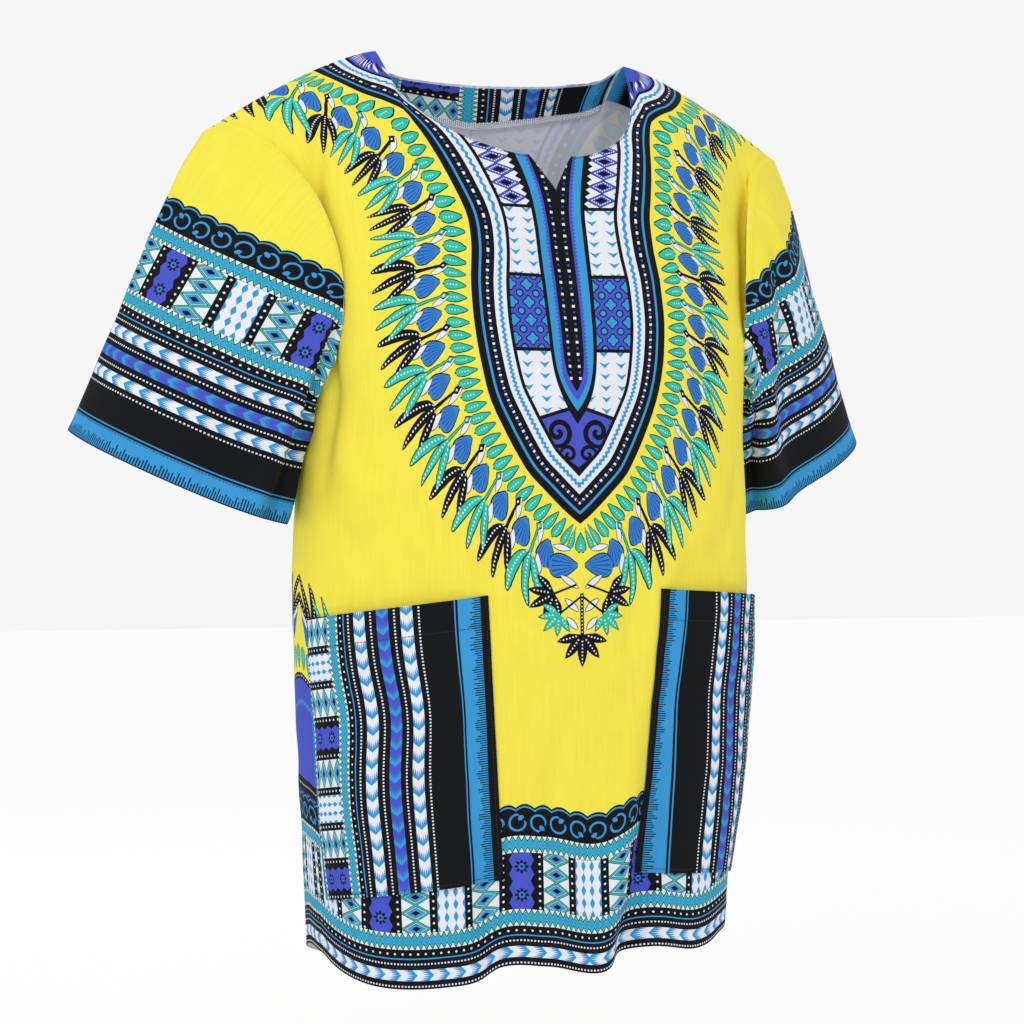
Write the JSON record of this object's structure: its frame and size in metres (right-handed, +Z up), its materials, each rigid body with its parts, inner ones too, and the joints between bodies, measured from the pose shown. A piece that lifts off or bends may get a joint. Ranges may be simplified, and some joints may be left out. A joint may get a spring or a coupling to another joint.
{
  "type": "dashiki shirt",
  "caption": "Loose pullover shirt with wide short sleeves, a round notched neck and patch pockets, hollow and shaped as worn, with a printed yoke and border bands.",
  "frame": {"origin": "midway between the two neck points, where the wearer's shoulders carry the shirt", "axes": "+Z up, the shirt's front faces -Y, and +X points to the wearer's left"},
  "size_m": [0.7442, 0.2693, 0.7846],
  "materials": {
    "body_cotton": "matt plain-weave cotton, yellow with a printed yoke and border",
    "sleeve_cotton": "matt plain-weave cotton, yellow with a wide blue and black printed border",
    "pocket_cotton": "matt plain-weave cotton with a blue and black striped border print",
    "facing_cotton": "matt plain-weave cotton with the striped border print, serged lower edge"
  },
  "bodies": {
    "root": {"front": "body_cotton", "back": "body_cotton", "sleeve_right": "sleeve_cotton", "sleeve_left": "sleeve_cotton", "pocket_right": "pocket_cotton", "pocket_left": "pocket_cotton", "neck_facing": "facing_cotton"}
  },
  "joints": []
}
